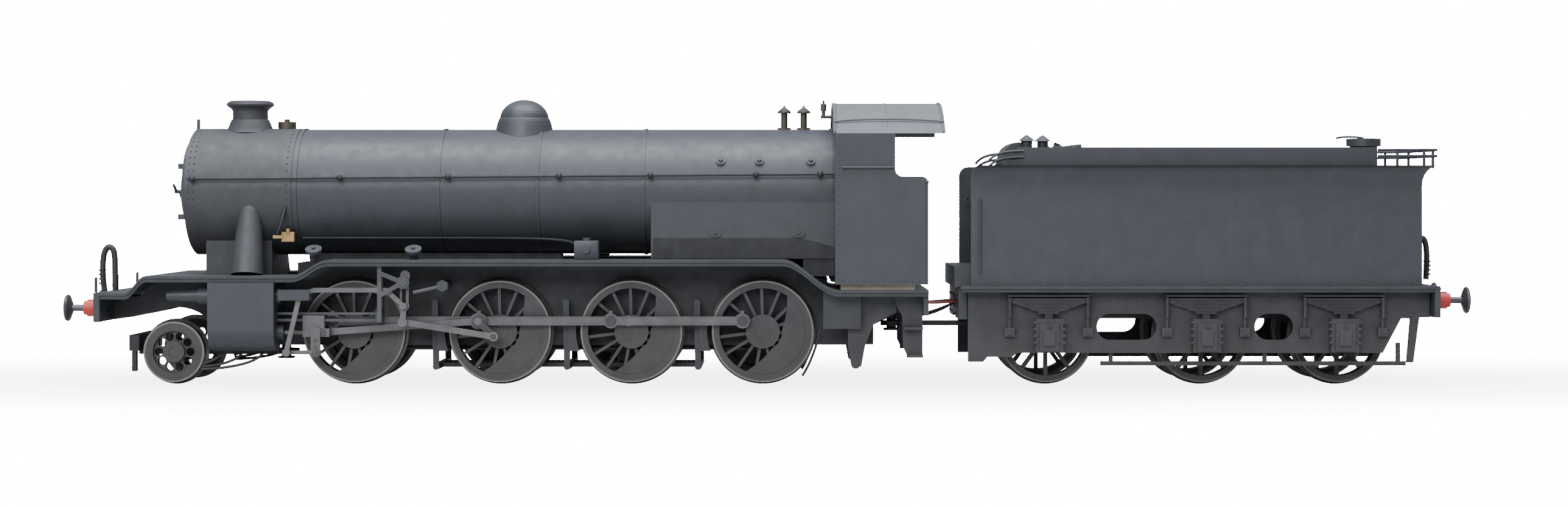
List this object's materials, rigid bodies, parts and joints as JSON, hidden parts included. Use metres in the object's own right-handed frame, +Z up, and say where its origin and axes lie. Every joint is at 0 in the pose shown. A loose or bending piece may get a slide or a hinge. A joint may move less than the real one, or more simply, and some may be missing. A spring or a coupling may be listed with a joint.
{
  "type": "model tender locomotive",
  "caption": "Model steam-outline 2-8-0 tender locomotive for 16.5 mm gauge track, with driven coupled wheels, outside cylinders and valve gear, and a hinged six-wheel tender.",
  "frame": {"origin": "midway between the front and rear buffer faces, on the centre line, at the surface the wheel flanges stand on", "axes": "+X towards the tender, +Y to the right-hand side of the engine, +Z up"},
  "size_m": [0.253, 0.0346, 0.052],
  "materials": {
    "body_grey": "matt weathered dark grey paint",
    "roof_grey": "matt dusty paler grey",
    "plate_grey": "matt grey paint with worn edges",
    "frame_black": "matt near-black",
    "rod_steel": "oily brown-grey steel",
    "wheel_metal": "brown-grey, brighter worn tread",
    "buffer_metal": "dull dark steel",
    "shank_red": "faded red satin paint",
    "bronze": "dull bronze",
    "cream": "plain moulded cream",
    "motor_can": "bare satin steel",
    "coal": "broken faces with a slight sheen",
    "wire": "thin coloured insulation"
  },
  "bodies": {
    "engine": {"chassis_block": "frame_black", "keeper_plate": "frame_black", "frame_plates": "frame_black", "running_plate": "plate_grey", "front_beam": "plate_grey", "front_buffer_shanks": "shank_red", "boiler": "body_grey", "smokebox": "body_grey", "smokebox_door": "body_grey", "chimney": "body_grey", "dome": "body_grey", "safety_valves": "bronze", "cab": "body_grey", "cab_roof": "roof_grey", "cab_floor": "cream", "cylinders": "body_grey", "slidebars": "rod_steel", "steam_pipes": "body_grey", "motion_brackets": "frame_black", "brake_gear": "frame_black", "cab_steps": "plate_grey", "motor": "motor_can"},
    "axle_1": {"wheelset_1": "wheel_metal"},
    "axle_2": {"wheelset_2": "wheel_metal"},
    "axle_3": {"wheelset_3": "wheel_metal"},
    "axle_4": {"wheelset_4": "wheel_metal"},
    "worm": {"worm_shaft": "bronze"},
    "side_rod_left": {"coupling_rod_left": "rod_steel"},
    "main_rod_left": {"connecting_rod_left": "rod_steel"},
    "eccentric_left": {"eccentric_rod_left": "rod_steel"},
    "slide_left": {"crosshead_left": "rod_steel"},
    "union_left": {"union_link_left": "rod_steel"},
    "radius_left": {"radius_rod_left": "rod_steel"},
    "lever_left": {"combination_lever_left": "rod_steel"},
    "link_left": {"expansion_link_left": "rod_steel"},
    "side_rod_right": {"coupling_rod_right": "rod_steel"},
    "main_rod_right": {"connecting_rod_right": "rod_steel"},
    "eccentric_right": {"eccentric_rod_right": "rod_steel"},
    "slide_right": {"crosshead_right": "rod_steel"},
    "union_right": {"union_link_right": "rod_steel"},
    "radius_right": {"radius_rod_right": "rod_steel"},
    "lever_right": {"combination_lever_right": "rod_steel"},
    "link_right": {"expansion_link_right": "rod_steel"},
    "pony": {"pony_truck": "frame_black"},
    "pony_wheels": {"pony_wheelset": "wheel_metal"},
    "coupling_bar": {"drawbar": "frame_black", "connecting_wires": "wire"},
    "tender": {"tender_tank": "body_grey", "tender_frame_left": "frame_black", "tender_frame_right": "frame_black", "tender_chassis": "plate_grey", "coal_load": "coal", "tender_buffer_shanks": "shank_red"},
    "tender_wheels_1": {"tender_wheelset_1": "wheel_metal"},
    "tender_wheels_2": {"tender_wheelset_2": "wheel_metal"},
    "tender_wheels_3": {"tender_wheelset_3": "wheel_metal"},
    "buffer_front_left": {"buffer_front_left": "buffer_metal"},
    "buffer_front_right": {"buffer_front_right": "buffer_metal"},
    "buffer_rear_left": {"buffer_rear_left": "buffer_metal"},
    "buffer_rear_right": {"buffer_rear_right": "buffer_metal"}
  },
  "joints": [
    {"name": "main_axle", "type": "hinge", "parent": "engine", "child": "axle_2", "pos_m": [-0.0484, 0, 0.00965], "axis": [0, 1, 0], "continuous": true},
    {"name": "first_axle", "type": "hinge", "parent": "engine", "child": "axle_1", "pos_m": [-0.0748, 0, 0.00965], "axis": [0, 1, 0], "continuous": true},
    {"name": "third_axle", "type": "hinge", "parent": "engine", "child": "axle_3", "pos_m": [-0.0246, 0, 0.00965], "axis": [0, 1, 0], "continuous": true},
    {"name": "last_axle", "type": "hinge", "parent": "engine", "child": "axle_4", "pos_m": [-0.0008, 0, 0.00965], "axis": [0, 1, 0], "continuous": true},
    {"name": "motor_shaft", "type": "hinge", "parent": "engine", "child": "worm", "pos_m": [-0.0246, 0, 0.018], "axis": [1, 0, 0], "continuous": true},
    {"name": "side_rod_pin_left", "type": "hinge", "parent": "axle_2", "child": "side_rod_left", "pos_m": [-0.05205, -0.01075, 0.01162], "axis": [0, 1, 0], "continuous": true},
    {"name": "main_rod_pin_left", "type": "hinge", "parent": "axle_2", "child": "main_rod_left", "pos_m": [-0.05205, -0.01185, 0.01162], "axis": [0, 1, 0], "continuous": true},
    {"name": "eccentric_pin_left", "type": "hinge", "parent": "axle_2", "child": "eccentric_left", "pos_m": [-0.04917, -0.0136, 0.00893], "axis": [0, 1, 0], "continuous": true},
    {"name": "crosshead_slide_left", "type": "slide", "parent": "engine", "child": "slide_left", "axis": [1, 0, 0], "range_m": [-0.00057, 0.00773]},
    {"name": "union_pin_left", "type": "hinge", "parent": "slide_left", "child": "union_left", "pos_m": [-0.08098, -0.0152, 0.0062], "axis": [0, 1, 0], "range_deg": [-6, 6]},
    {"name": "valve_slide_left", "type": "slide", "parent": "engine", "child": "radius_left", "axis": [1, 0, 0], "range_m": [-0.0012, 0.0012]},
    {"name": "lever_pin_left", "type": "hinge", "parent": "radius_left", "child": "lever_left", "pos_m": [-0.0835, -0.016, 0.01655], "axis": [0, 1, 0], "range_deg": [-24, 3]},
    {"name": "trunnion_left", "type": "hinge", "parent": "engine", "child": "link_left", "pos_m": [-0.0651, -0.0144, 0.01875], "axis": [0, 1, 0], "range_deg": [-9, 9]},
    {"name": "side_rod_pin_right", "type": "hinge", "parent": "axle_2", "child": "side_rod_right", "pos_m": [-0.04643, 0.01075, 0.0133], "axis": [0, 1, 0], "continuous": true},
    {"name": "main_rod_pin_right", "type": "hinge", "parent": "axle_2", "child": "main_rod_right", "pos_m": [-0.04643, 0.01185, 0.0133], "axis": [0, 1, 0], "continuous": true},
    {"name": "eccentric_pin_right", "type": "hinge", "parent": "axle_2", "child": "eccentric_right", "pos_m": [-0.04912, 0.0136, 0.01042], "axis": [0, 1, 0], "continuous": true},
    {"name": "crosshead_slide_right", "type": "slide", "parent": "engine", "child": "slide_right", "axis": [1, 0, 0], "range_m": [-0.00636, 0.00194]},
    {"name": "union_pin_right", "type": "hinge", "parent": "slide_right", "child": "union_right", "pos_m": [-0.07519, 0.0152, 0.0062], "axis": [0, 1, 0], "range_deg": [-6, 6]},
    {"name": "valve_slide_right", "type": "slide", "parent": "engine", "child": "radius_right", "axis": [1, 0, 0], "range_m": [-0.0012, 0.0012]},
    {"name": "lever_pin_right", "type": "hinge", "parent": "radius_right", "child": "lever_right", "pos_m": [-0.0835, 0.016, 0.01655], "axis": [0, 1, 0], "range_deg": [-8, 16]},
    {"name": "trunnion_right", "type": "hinge", "parent": "engine", "child": "link_right", "pos_m": [-0.0651, 0.0144, 0.01875], "axis": [0, 1, 0], "range_deg": [-9, 9]},
    {"name": "pony_pivot", "type": "hinge", "parent": "engine", "child": "pony", "pos_m": [-0.089, 0, 0.00595], "axis": [0, 0, 1], "range_deg": [-6, 6]},
    {"name": "pony_axle", "type": "hinge", "parent": "pony", "child": "pony_wheels", "pos_m": [-0.1075, 0, 0.00595], "axis": [0, 1, 0], "continuous": true},
    {"name": "engine_drawbar_pin", "type": "hinge", "parent": "engine", "child": "coupling_bar", "pos_m": [0.0229, 0, 0.0107], "axis": [0, 0, 1], "range_deg": [-4, 4]},
    {"name": "tender_drawbar_pin", "type": "hinge", "parent": "coupling_bar", "child": "tender", "pos_m": [0.0411, 0, 0.0107], "axis": [0, 0, 1], "range_deg": [-3, 3]},
    {"name": "tender_axle_1", "type": "hinge", "parent": "tender", "child": "tender_wheels_1", "pos_m": [0.0505, 0, 0.0088], "axis": [0, 1, 0], "continuous": true},
    {"name": "tender_axle_2", "type": "hinge", "parent": "tender", "child": "tender_wheels_2", "pos_m": [0.0787, 0, 0.0088], "axis": [0, 1, 0], "continuous": true},
    {"name": "tender_axle_3", "type": "hinge", "parent": "tender", "child": "tender_wheels_3", "pos_m": [0.1034, 0, 0.0088], "axis": [0, 1, 0], "continuous": true},
    {"name": "buffer_slide_front_left", "type": "slide", "parent": "engine", "child": "buffer_front_left", "axis": [1, 0, 0], "range_m": [0, 0.001], "stiffness_N_per_m": 200},
    {"name": "buffer_slide_front_right", "type": "slide", "parent": "engine", "child": "buffer_front_right", "axis": [1, 0, 0], "range_m": [0, 0.001], "stiffness_N_per_m": 200},
    {"name": "buffer_slide_rear_left", "type": "slide", "parent": "tender", "child": "buffer_rear_left", "axis": [-1, 0, 0], "range_m": [0, 0.001], "stiffness_N_per_m": 200},
    {"name": "buffer_slide_rear_right", "type": "slide", "parent": "tender", "child": "buffer_rear_right", "axis": [-1, 0, 0], "range_m": [0, 0.001], "stiffness_N_per_m": 200}
  ],
  "couplings": [
    {"joint": "first_axle", "follows": "main_axle", "ratio": 1},
    {"joint": "third_axle", "follows": "main_axle", "ratio": 1},
    {"joint": "last_axle", "follows": "main_axle", "ratio": 1},
    {"joint": "motor_shaft", "follows": "main_axle", "ratio": -27},
    {"joint": "side_rod_pin_left", "follows": "main_axle", "ratio": -1},
    {"joint": "main_rod_pin_left", "follows": "main_axle", "ratio": -1},
    {"joint": "eccentric_pin_left", "follows": "main_axle", "ratio": -1},
    {"joint": "side_rod_pin_right", "follows": "main_axle", "ratio": -1},
    {"joint": "main_rod_pin_right", "follows": "main_axle", "ratio": -1},
    {"joint": "eccentric_pin_right", "follows": "main_axle", "ratio": -1}
  ]
}
